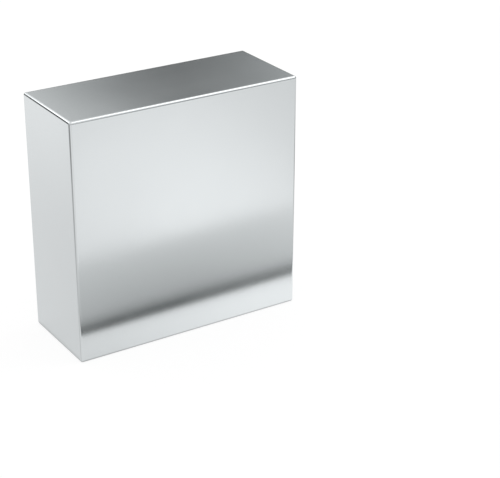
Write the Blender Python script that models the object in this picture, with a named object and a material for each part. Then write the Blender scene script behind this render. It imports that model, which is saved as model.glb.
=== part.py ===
"""Block magnet: a sintered rare-earth block, ground flat on six sides, tumbled and nickel plated.

The block stands on one of its narrow sides. X runs across its width, Y through its thickness,
which is the way it is magnetised, and Z up its height. The origin is the middle of the side
it stands on.
"""

import bmesh
import bpy
from mathutils import Vector

# Finished sizes over the plating, in metres
BLOCK_WIDTH = 0.050
BLOCK_THICKNESS = 0.020
BLOCK_HEIGHT = 0.050

# Tumbling leaves every edge round, and every corner part of a ball of the same radius
EDGE_RADIUS = 0.0005
EDGE_SEGMENTS = 8

# Bright nickel over the grey sintered block
NICKEL_COLOUR = (0.77, 0.80, 0.81, 1.0)
NICKEL_ROUGHNESS = 0.18


def clear_scene():
    for leftover in list(bpy.data.objects):
        bpy.data.objects.remove(leftover, do_unlink=True)


def nickel_plating():
    """Plating that covers the whole block, a little cooler in colour than steel."""
    material = bpy.data.materials.new("nickel_plating")
    material.use_nodes = True
    shader = material.node_tree.nodes["Principled BSDF"]
    shader.inputs["Base Color"].default_value = NICKEL_COLOUR
    shader.inputs["Metallic"].default_value = 1.0
    shader.inputs["Roughness"].default_value = NICKEL_ROUGHNESS
    return material


def ground_block():
    """The block as it leaves the grinder: six flat sides and sharp edges, stood on its base."""
    mesh = bpy.data.meshes.new("magnet_block")
    block = bmesh.new()
    bmesh.ops.create_cube(block, size=1.0)
    bmesh.ops.scale(
        block,
        vec=Vector((BLOCK_WIDTH, BLOCK_THICKNESS, BLOCK_HEIGHT)),
        verts=block.verts,
    )
    bmesh.ops.translate(block, vec=Vector((0, 0, BLOCK_HEIGHT / 2)), verts=block.verts)
    block.to_mesh(mesh)
    block.free()
    return bpy.data.objects.new("magnet_block", mesh)


def tumble(block):
    """Rounds the twelve edges and eight corners, and leaves the six sides flat."""
    rounding = block.modifiers.new("tumbled_edges", "BEVEL")
    rounding.width = EDGE_RADIUS
    rounding.segments = EDGE_SEGMENTS
    rounding.profile = 0.5
    rounding.limit_method = "NONE"
    rounding.harden_normals = True
    block.data.shade_smooth()


def build_magnet():
    clear_scene()
    block = ground_block()
    bpy.context.scene.collection.objects.link(block)
    tumble(block)
    block.data.materials.append(nickel_plating())
    return block


build_magnet()
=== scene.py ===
# A plated block magnet on a pale floor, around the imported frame.

import math

import bmesh
import bpy
from mathutils import Matrix, Vector


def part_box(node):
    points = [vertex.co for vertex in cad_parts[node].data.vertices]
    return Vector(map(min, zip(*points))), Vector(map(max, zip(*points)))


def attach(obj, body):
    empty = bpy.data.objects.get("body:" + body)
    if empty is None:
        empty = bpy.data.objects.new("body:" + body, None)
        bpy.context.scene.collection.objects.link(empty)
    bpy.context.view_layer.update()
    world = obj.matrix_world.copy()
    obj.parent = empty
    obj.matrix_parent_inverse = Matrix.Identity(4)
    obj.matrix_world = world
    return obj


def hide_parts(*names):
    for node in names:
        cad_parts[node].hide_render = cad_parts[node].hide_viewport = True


print("block magnet: loading the frame")
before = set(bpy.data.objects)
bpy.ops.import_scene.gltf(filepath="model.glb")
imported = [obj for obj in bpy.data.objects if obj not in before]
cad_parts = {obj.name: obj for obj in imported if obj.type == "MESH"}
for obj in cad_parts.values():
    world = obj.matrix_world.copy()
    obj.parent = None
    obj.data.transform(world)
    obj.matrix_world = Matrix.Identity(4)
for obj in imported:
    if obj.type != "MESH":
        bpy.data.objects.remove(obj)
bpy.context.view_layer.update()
blockLow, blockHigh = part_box("magnet_block")
blockMiddle = (blockLow + blockHigh) / 2
blockSize = blockHigh - blockLow


# What the materials are put together with

def newMaterial(name):
    material = bpy.data.materials.new(name)
    material.use_nodes = True
    tree = material.node_tree
    tree.nodes.clear()
    output = tree.nodes.new("ShaderNodeOutputMaterial")
    return material, tree, output


def addNode(tree, kind, **settings):
    node = tree.nodes.new(kind)
    for key, value in settings.items():
        setattr(node, key, value)
    return node


# An input gets either another node's output or a plain value
def feed(tree, socket, value):
    if isinstance(value, bpy.types.NodeSocket):
        tree.links.new(value, socket)
    else:
        socket.default_value = value


def addMath(tree, operation, first, second=None):
    node = addNode(tree, "ShaderNodeMath", operation=operation)
    feed(tree, node.inputs[0], first)
    if second is not None:
        feed(tree, node.inputs[1], second)
    return node.outputs["Value"]


def addMix(tree, kind, factor, first, second):
    node = addNode(tree, "ShaderNodeMix", data_type=kind)
    feed(tree, node.inputs["Factor"], factor)
    feed(tree, node.inputs["A"], first)
    feed(tree, node.inputs["B"], second)
    return node.outputs["Result"]


# Goes from low at start to high at end, and stays level before and after
def addRange(tree, value, start, end, low=0.0, high=1.0, smooth=True):
    curve = "SMOOTHSTEP" if smooth else "LINEAR"
    node = addNode(tree, "ShaderNodeMapRange", interpolation_type=curve)
    feed(tree, node.inputs["Value"], value)
    node.inputs["From Min"].default_value = start
    node.inputs["From Max"].default_value = end
    node.inputs["To Min"].default_value = low
    node.inputs["To Max"].default_value = high
    return node.outputs["Result"]


# 1 in the middle, and softly down to nothing round it
def addBell(tree, square):
    return addMath(tree, "EXPONENT", addMath(tree, "MULTIPLY", square, -1.0))


def addNoise(tree, place, scale, detail):
    node = addNode(tree, "ShaderNodeTexNoise")
    node.inputs["Scale"].default_value = scale
    node.inputs["Detail"].default_value = detail
    tree.links.new(place, node.inputs["Vector"])
    return node.outputs["Fac"]


def addBump(tree, height, distance):
    node = addNode(tree, "ShaderNodeBump")
    node.inputs["Distance"].default_value = distance
    tree.links.new(height, node.inputs["Height"])
    return node


def addPlace(tree):
    return addNode(tree, "ShaderNodeTexCoord").outputs["Object"]


# The same place counted from another middle, turned round Z and measured in widths
def addOffset(tree, place, middle, turn=0.0, widths=(1.0, 1.0)):
    node = addNode(tree, "ShaderNodeMapping", vector_type="TEXTURE")
    node.inputs["Location"].default_value = middle
    node.inputs["Rotation"].default_value = (0.0, 0.0, math.radians(turn))
    node.inputs["Scale"].default_value = (*widths, 1.0)
    tree.links.new(place, node.inputs["Vector"])
    return node.outputs["Vector"]


def addVectorMath(tree, operation, first, second=None):
    node = addNode(tree, "ShaderNodeVectorMath", operation=operation)
    feed(tree, node.inputs[0], first)
    if second is not None:
        feed(tree, node.inputs[1], second)
    return node.outputs


def splitVector(tree, vector):
    node = addNode(tree, "ShaderNodeSeparateXYZ")
    tree.links.new(vector, node.inputs["Vector"])
    return node.outputs


# 1 for rays of these kinds and 0 for the others
def addRays(tree, *kinds):
    rays = addNode(tree, "ShaderNodeLightPath")
    found = rays.outputs[f"Is {kinds[0]} Ray"]
    for kind in kinds[1:]:
        found = addMath(tree, "MAXIMUM", found, rays.outputs[f"Is {kind} Ray"])
    return found


# The plated block

plainBlock = {
    "edgeRound": 0.0005,                   # radius left by the tumbling
    "edgeSteps": 16,                       # faces round a quarter turn
    "rim": 0.00004,                        # narrow border that keeps each side's shading flat
    "sortAlong": (1.0, 7.3, 31.7),         # a slanting line, along which no two faces are level
}

brightNickel = {
    "colour": (0.775, 0.805, 0.815),
    "deepColour": (0.755, 0.785, 0.797),   # where the plate lies a little thicker
    "roughness": (0.165, 0.2),
    "edgeRoughness": 0.12,                 # the rounded edges are burnished by the tumbling
    "edgeStart": (-0.00015, 0.0001),       # comes in over this stretch, 0 is the start of the round
    "hazeScale": 55.0,                     # soft clouds in the gloss, about 18 mm apart
    "hazeDetail": 3.0,
    "hazeRange": (0.3, 0.7),               # the part of the clouds that the roughness is spread over
    "peelScale": 1400.0,                   # fine orange peel, about 0.7 mm
    "peelDetail": 1.0,
    "peelHeight": 0.0000014,
    "grindScale": 5200.0,                  # ground lines under the plate, about 0.2 mm apart
    "grindDetail": 2.0,
    "grindStretch": 0.012,                 # how wide the lines are for their length
    "grindHeight": 0.0000004,
}


def makeNickel():
    look = brightNickel
    material, tree, output = newMaterial("brightNickel")
    link = tree.links.new
    shader = addNode(tree, "ShaderNodeBsdfPrincipled")
    shader.inputs["Metallic"].default_value = 1.0
    link(shader.outputs["BSDF"], output.inputs["Surface"])
    place = addPlace(tree)

    # Soft clouds, which shift the gloss and the colour a little together
    haze = addNoise(tree, place, look["hazeScale"], look["hazeDetail"])
    gloss = addRange(tree, haze, *look["hazeRange"], *look["roughness"], smooth=False)
    tint = addMix(tree, "RGBA", haze, (*look["colour"], 1.0), (*look["deepColour"], 1.0))
    link(tint, shader.inputs["Base Color"])

    # How far past the flat sides a point is, along each axis. The second largest of the three
    # is past them only on an edge
    outward = addVectorMath(tree, "ABSOLUTE", addOffset(tree, place, blockMiddle))["Vector"]
    flatHalf = [side / 2 - plainBlock["edgeRound"] for side in blockSize]
    past = splitVector(tree, addVectorMath(tree, "SUBTRACT", outward, flatHalf)["Vector"])
    lower = addMath(tree, "MINIMUM", past["X"], past["Y"])
    upper = addMath(tree, "MAXIMUM", past["X"], past["Y"])
    second = addMath(tree, "MAXIMUM", lower, addMath(tree, "MINIMUM", upper, past["Z"]))
    onEdge = addRange(tree, second, *look["edgeStart"])
    burnish = addMix(tree, "FLOAT", onEdge, gloss, look["edgeRoughness"])
    link(burnish, shader.inputs["Roughness"])

    # Orange peel of the plate
    peel = addNoise(tree, place, look["peelScale"], look["peelDetail"])
    peelBump = addBump(tree, peel, look["peelHeight"])

    # Ground lines that still show through it, along the block's width
    lineUp = addNode(tree, "ShaderNodeMapping")
    lineUp.inputs["Scale"].default_value = (look["grindStretch"], 1.0, 1.0)
    link(place, lineUp.inputs["Vector"])
    grind = addNoise(tree, lineUp.outputs["Vector"], look["grindScale"], look["grindDetail"])
    grindBump = addBump(tree, grind, look["grindHeight"])
    link(peelBump.outputs["Normal"], grindBump.inputs["Normal"])
    link(grindBump.outputs["Normal"], shader.inputs["Normal"])
    return material


def makeBlock():
    size = plainBlock
    mesh = bmesh.new()
    bmesh.ops.create_cube(mesh, size=1.0)
    bmesh.ops.scale(mesh, vec=blockSize, verts=mesh.verts)
    bmesh.ops.translate(mesh, vec=blockMiddle, verts=mesh.verts)
    rounded = bmesh.ops.bevel(
        mesh,
        geom=mesh.edges[:],
        offset=size["edgeRound"],
        offset_type="OFFSET",
        affect="EDGES",
        segments=size["edgeSteps"],
        profile=0.5,
        material=-1,
    )
    sides = [face for face in mesh.faces if face not in set(rounded["faces"])]
    bmesh.ops.inset_individual(mesh, faces=sides, thickness=size["rim"])
    bmesh.ops.recalc_face_normals(mesh, faces=mesh.faces)
    # Bevel leaves the sides in any order, so all faces get a fixed one, by their places
    mesh.faces.sort(key=lambda face: face.calc_center_median().dot(size["sortAlong"]))
    for face in mesh.faces:
        face.smooth = True
    data = bpy.data.meshes.new("plated_block")
    mesh.to_mesh(data)
    mesh.free()
    block = bpy.data.objects.new("plated_block", data)
    bpy.context.scene.collection.objects.link(block)
    data.materials.append(makeNickel())
    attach(block, "root")
    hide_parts("magnet_block")


print("block magnet: rounding and plating the block")
makeBlock()


# The studio: a pale round floor, a wall about it with painted folds, a card before the block that
# paints a reflection in the metal, and soft lamps

studio = {
    "radius": 1.2,                 # of the floor, and of the wall at its rim
    "segments": 96,
    "roomLight": 0.95,             # the light that the room gives off, where white is 1
}


def addStage(name, mesh, material):
    data = bpy.data.meshes.new(name)
    mesh.to_mesh(data)
    mesh.free()
    piece = bpy.data.objects.new(name, data)
    bpy.context.scene.collection.objects.link(piece)
    data.materials.append(material)
    return piece


paleFloor = {
    "colour": 0.35,
    "cameraColour": 0.20,          # the colour for the camera, which sets how much shadow it sees
    "cameraFill": (0.855, 0.92),   # what lifts that to white, near the block and at the wall
    "fillFrom": 0.24,              # how far out the fill starts to change
    "glow": 0.464,                 # as the metal mirrors it
    "contactReach": 0.0010,        # how far from the block its contact shade goes
    "contactSamples": 8,
}

# Soft pools of light and shade that the metal mirrors in the floor
floorPools = {                     # strength, middle, half widths, turn in degrees
    "rightPool": (0.700, (0.043, 0.009), (0.060, 0.134), 9.6),
    "backPool": (0.700, (-0.097, 0.060), (0.060, 0.207), 2.6),
    "frontShade": (-0.800, (-0.137, 0.013), (0.086, 0.108), 11.2),
    "edgeShade": (-0.265, (-0.091, -0.002), (0.040, 0.025), 90.0),
    "backShade": (-0.415, (-0.240, 0.271), (0.122, 0.300), 42.9),
    "rightShade": (-0.757, (0.079, 0.009), (0.049, 0.094), 14.3),
}

# A narrow shade that runs out from the left front corner, for the line along the upright edge
cornerShade = {
    "strength": -0.27,
    "turn": 172.0,                 # degrees from +X
    "halfAngle": 14.0,
    "fadeOver": (0.030, 0.075),    # full up to the first, gone at the second
}


def floorMaterial():
    look = paleFloor
    material, tree, output = newMaterial("paleFloor")
    link = tree.links.new
    place = addPlace(tree)
    toCamera = addRays(tree, "Camera", "Transmission")

    lit = addNode(tree, "ShaderNodeBsdfDiffuse")
    colour = addMath(tree, "MULTIPLY", toCamera, look["cameraColour"] - look["colour"])
    link(addMath(tree, "ADD", colour, look["colour"]), lit.inputs["Color"])

    glow = look["glow"]
    for strength, middle, widths, turn in floorPools.values():
        spot = addOffset(tree, place, (*middle, 0.0), turn, widths)
        square = addVectorMath(tree, "DOT_PRODUCT", spot, spot)["Value"]
        pool = addMath(tree, "MULTIPLY", addBell(tree, square), strength)
        glow = addMath(tree, "ADD", pool, glow)

    corner = (blockLow.x, blockLow.y, 0.0)
    wedge = splitVector(tree, addOffset(tree, place, corner, cornerShade["turn"]))
    off = addMath(tree, "ARCTAN2", wedge["Y"], wedge["X"])
    off = addMath(tree, "DIVIDE", off, math.radians(cornerShade["halfAngle"]))
    narrow = addBell(tree, addMath(tree, "MULTIPLY", off, off))
    full, gone = cornerShade["fadeOver"]
    outward = addRange(tree, wedge["X"], gone, full, high=cornerShade["strength"])
    glow = addMath(tree, "ADD", addMath(tree, "MULTIPLY", narrow, outward), glow)
    glow = addMath(tree, "MAXIMUM", glow, 0.0)

    # Close to the block, where it shuts the light out, what the metal mirrors grows darker
    contact = addNode(tree, "ShaderNodeAmbientOcclusion", samples=look["contactSamples"])
    contact.inputs["Distance"].default_value = look["contactReach"]
    shaded = addMath(tree, "MULTIPLY", glow, contact.outputs["AO"])
    metalPart = addMath(tree, "MULTIPLY", addRays(tree, "Glossy"), shaded)

    away = addVectorMath(tree, "LENGTH", place)["Value"]
    fill = addRange(tree, away, look["fillFrom"], studio["radius"], *look["cameraFill"])
    cameraPart = addMath(tree, "MULTIPLY", toCamera, fill)
    shining = addNode(tree, "ShaderNodeEmission")
    link(addMath(tree, "ADD", cameraPart, metalPart), shining.inputs["Strength"])

    both = addNode(tree, "ShaderNodeAddShader")
    link(lit.outputs["BSDF"], both.inputs[0])
    link(shining.outputs["Emission"], both.inputs[1])
    link(both.outputs["Shader"], output.inputs["Surface"])
    return material


def makeFloor():
    mesh = bmesh.new()
    bmesh.ops.create_circle(
        mesh, cap_ends=True, radius=studio["radius"], segments=studio["segments"]
    )
    addStage("floor", mesh, floorMaterial())


# A plain round wall that glows, though it is no lamp, with painted light and shade: dark and bright
# folds, and a brighter side towards the camera, which only the metal mirrors
paintedFoldWall = {
    "height": 0.9,
    "dark": 0.062,                 # level of the darkest folds
    "foldBright": 1.16,            # how much brighter the brightest are
    "tint": (0.945, 1.0, 1.005),   # of the darker parts
    "folds": 12,
    "foldTurn": 28.7,              # degrees from +Y towards +X, the middle of one dark fold
    "foldLean": 0.5,               # how far it leans to the right, in radians for each metre up
    "leanFrom": 19.0,              # degrees above the floor, where the folds are at their turn
    "foldRise": (10.0, 25.0),      # degrees above the floor between which the folds come in
    "fade": (20.0, 32.0),          # degrees above the floor between which all fades to white
    "paintedFrontLight": 0.2,              # how much brighter the wall is on the camera's side
}


# How high on the wall a point is that stands this many degrees above the floor
def heightOnWall(degrees):
    return math.tan(math.radians(degrees)) * studio["radius"]


def wallMaterial():
    look = paintedFoldWall
    material, tree, output = newMaterial("paintedFoldWall")
    link = tree.links.new
    parts = splitVector(tree, addPlace(tree))

    # Painted shade and light of folds round the room, dark to bright, which come in a little above
    # the floor
    turn = addMath(tree, "ARCTAN2", parts["X"], parts["Y"])
    turn = addMath(tree, "SUBTRACT", turn, math.radians(look["foldTurn"]))
    lean = addMath(tree, "SUBTRACT", parts["Z"], heightOnWall(look["leanFrom"]))
    lean = addMath(tree, "MULTIPLY", lean, look["foldLean"])
    turn = addMath(tree, "SUBTRACT", turn, lean)
    turn = addMath(tree, "MULTIPLY", turn, look["folds"])
    fold = addMath(tree, "COSINE", turn)
    fold = addMath(tree, "MULTIPLY", fold, -0.5)
    fold = addMath(tree, "ADD", fold, 0.5)
    riseHeights = [heightOnWall(degrees) for degrees in look["foldRise"]]
    rise = addRange(tree, parts["Z"], *riseHeights, high=look["foldBright"])
    level = addMath(tree, "MULTIPLY", fold, rise)
    level = addMath(tree, "ADD", level, look["dark"])
    # Painted light: the wall grows brighter on the camera's side
    front = addRange(tree, parts["Y"], 0.0, -studio["radius"], high=look["paintedFrontLight"])
    level = addMath(tree, "ADD", level, front)

    # It fades into the white above it, and the camera sees plain white all over
    fadeHeights = [heightOnWall(degrees) for degrees in look["fade"]]
    level = addMix(tree, "FLOAT", addRange(tree, parts["Z"], *fadeHeights), level, 1.0)
    level = addMix(tree, "FLOAT", addRays(tree, "Camera", "Transmission"), level, 1.0)

    shining = addNode(tree, "ShaderNodeEmission")
    tint = addMix(tree, "RGBA", level, (*look["tint"], 1.0), (1.0, 1.0, 1.0, 1.0))
    link(tint, shining.inputs["Color"])
    link(level, shining.inputs["Strength"])
    link(shining.outputs["Emission"], output.inputs["Surface"])
    return material


def makeWall():
    mesh = bmesh.new()
    ring = bmesh.ops.create_circle(
        mesh, cap_ends=False, radius=studio["radius"], segments=studio["segments"]
    )
    rim = list({edge for vert in ring["verts"] for edge in vert.link_edges})
    raised = bmesh.ops.extrude_edge_only(mesh, edges=rim)
    top = [item for item in raised["geom"] if isinstance(item, bmesh.types.BMVert)]
    bmesh.ops.translate(mesh, vec=Vector((0, 0, paintedFoldWall["height"])), verts=top)
    addStage("wall", mesh, wallMaterial())


# A glowing card that only the metal sees, a painted reflection: it gives the soft dark band low on
# the block's front side
paintedReflectionCard = {
    "front": (0.0099, 0.041),      # from the block's front face, near and far edge
    "turn": -0.65,                 # degrees, its right end a little further from the block
    "ends": (-0.09, 0.1),
    "fadeLeft": (-0.085, 0.0),     # from nothing at its left end to its full strength
    "fadeRight": (0.085, 0.035),   # and the same at its right end
    "lift": 0.0002,
    "leftShades": (                # from the near edge, at 0, to the far one, at 1
        (0.0, 0.03), (0.085, 0.03), (0.14, 0.315), (0.235, 0.48), (0.3, 0.505),
        (0.75, 0.615), (1.0, 0.65),
    ),
    "rightShades": (
        (0.0, 0.06), (0.065, 0.06), (0.125, 0.37), (0.19, 0.62), (0.25, 0.67),
        (0.5, 0.68), (0.75, 0.695), (1.0, 0.7),
    ),
    "rightOver": (0.006, 0.046),   # where the left shades give way to the right ones
    "coolness": 0.007,             # how much less red than green there is in them
}


# One side's shades, as stops on a colour ramp
def addShades(tree, place, shades):
    node = addNode(tree, "ShaderNodeValToRGB")
    stops = node.color_ramp.elements
    for spot, grey in shades[1:-1]:
        stops.new(spot)
    for stop, (spot, grey) in zip(stops, shades):
        stop.position = spot
        stop.color = (grey - paintedReflectionCard["coolness"], grey, grey, 1.0)
    tree.links.new(place, node.inputs["Fac"])
    return node.outputs["Color"]


def cardMaterial():
    look = paintedReflectionCard
    material, tree, output = newMaterial("paintedReflectionCard")
    link = tree.links.new
    footLine = (0.0, blockLow.y, 0.0)
    parts = splitVector(tree, addOffset(tree, addPlace(tree), footLine, look["turn"]))
    near, far = look["front"]
    across = addRange(tree, parts["Y"], -near, -far, smooth=False)
    along = addRange(tree, parts["X"], *look["rightOver"])
    left = addShades(tree, across, look["leftShades"])
    right = addShades(tree, across, look["rightShades"])
    # The card glows with these painted shades, and no lamp lights it
    shining = addNode(tree, "ShaderNodeEmission")
    link(addMix(tree, "RGBA", along, left, right), shining.inputs["Color"])

    # Both ends grow thin and let the floor through
    solid = 1.0
    for end in ("fadeLeft", "fadeRight"):
        solid = addMath(tree, "MULTIPLY", addRange(tree, parts["X"], *look[end]), solid)
    clear = addNode(tree, "ShaderNodeBsdfTransparent")
    mixed = addNode(tree, "ShaderNodeMixShader")
    link(solid, mixed.inputs["Fac"])
    link(clear.outputs["BSDF"], mixed.inputs[1])
    link(shining.outputs["Emission"], mixed.inputs[2])
    link(mixed.outputs["Shader"], output.inputs["Surface"])
    return material


def makeCard():
    look = paintedReflectionCard
    mesh = bmesh.new()
    near, far = look["front"]
    left, right = look["ends"]
    bmesh.ops.create_grid(mesh, x_segments=1, y_segments=1, size=0.5)    # 1 m wide
    bmesh.ops.scale(mesh, vec=Vector((right - left, far - near, 1)), verts=mesh.verts)
    middle = Vector(((left + right) / 2, -(near + far) / 2, look["lift"]))
    bmesh.ops.translate(mesh, vec=middle, verts=mesh.verts)
    turned = Matrix.Rotation(math.radians(look["turn"]), 3, "Z")
    bmesh.ops.rotate(mesh, cent=Vector((0, 0, 0)), matrix=turned, verts=mesh.verts)
    bmesh.ops.translate(mesh, vec=Vector((0, blockLow.y, 0)), verts=mesh.verts)
    card = addStage("paintedReflectionCard", mesh, cardMaterial())
    card.visible_camera = False
    card.visible_diffuse = False
    card.visible_shadow = False


# Two square lamps, where the rounded edges mirror them and the flat sides don't
softLamps = {
    "topLamp": {"place": (0.257, -0.06, 0.453), "width": 0.26, "power": 0.25},
    "backLamp": {"place": (-0.162, 0.398, 0.356), "width": 0.21, "power": 0.145},
}


def lightRoom():
    world = bpy.data.worlds.new("whiteRoom")
    bpy.context.scene.world = world
    world.use_nodes = True
    tree = world.node_tree
    tree.nodes.clear()
    output = tree.nodes.new("ShaderNodeOutputWorld")
    background = tree.nodes.new("ShaderNodeBackground")

    # The camera, the metal and glass see it plain white
    seen = addRays(tree, "Camera", "Glossy", "Transmission")
    more = addMath(tree, "MULTIPLY", seen, 1.0 - studio["roomLight"])
    level = addMath(tree, "ADD", more, studio["roomLight"])
    tree.links.new(level, background.inputs["Strength"])
    tree.links.new(background.outputs["Background"], output.inputs["Surface"])


def makeLamps():
    for name, look in softLamps.items():
        lamp = bpy.data.lights.new(name, "AREA")
        lamp.shape = "SQUARE"
        lamp.size = look["width"]
        lamp.energy = look["power"]
        lampObject = bpy.data.objects.new(name, lamp)
        lampObject.location = look["place"]
        bpy.context.scene.collection.objects.link(lampObject)
        towards = blockMiddle - Vector(look["place"])
        lampObject.rotation_euler = towards.to_track_quat("-Z", "Y").to_euler()


print("block magnet: floor, wall, card and lamps")
makeFloor()
makeWall()
makeCard()
lightRoom()
makeLamps()


# The camera

photoCamera = {
    "place": (-0.13358, -0.24007, 0.14443),
    "turn": 32.684,                # degrees from +Y towards +X
    "down": 24.966,
    "tilt": 0.193,
    "lens": 106.69,
    "sensorWidth": 36.0,
    "clipStart": 0.01,
}


def makeCamera():
    look = photoCamera
    data = bpy.data.cameras.new("photoCamera")
    data.lens = look["lens"]
    data.sensor_width = look["sensorWidth"]
    data.clip_start = look["clipStart"]
    camera = bpy.data.objects.new("photoCamera", data)
    bpy.context.scene.collection.objects.link(camera)
    turned = Matrix.Rotation(math.radians(-look["turn"]), 4, "Z")
    lowered = Matrix.Rotation(math.radians(90.0 - look["down"]), 4, "X")
    tilted = Matrix.Rotation(math.radians(look["tilt"]), 4, "Z")
    camera.matrix_world = Matrix.Translation(look["place"]) @ turned @ lowered @ tilted
    bpy.context.scene.camera = camera


print("block magnet: camera")
makeCamera()
bpy.context.scene.view_settings.view_transform = "Standard"

print("block magnet: done")
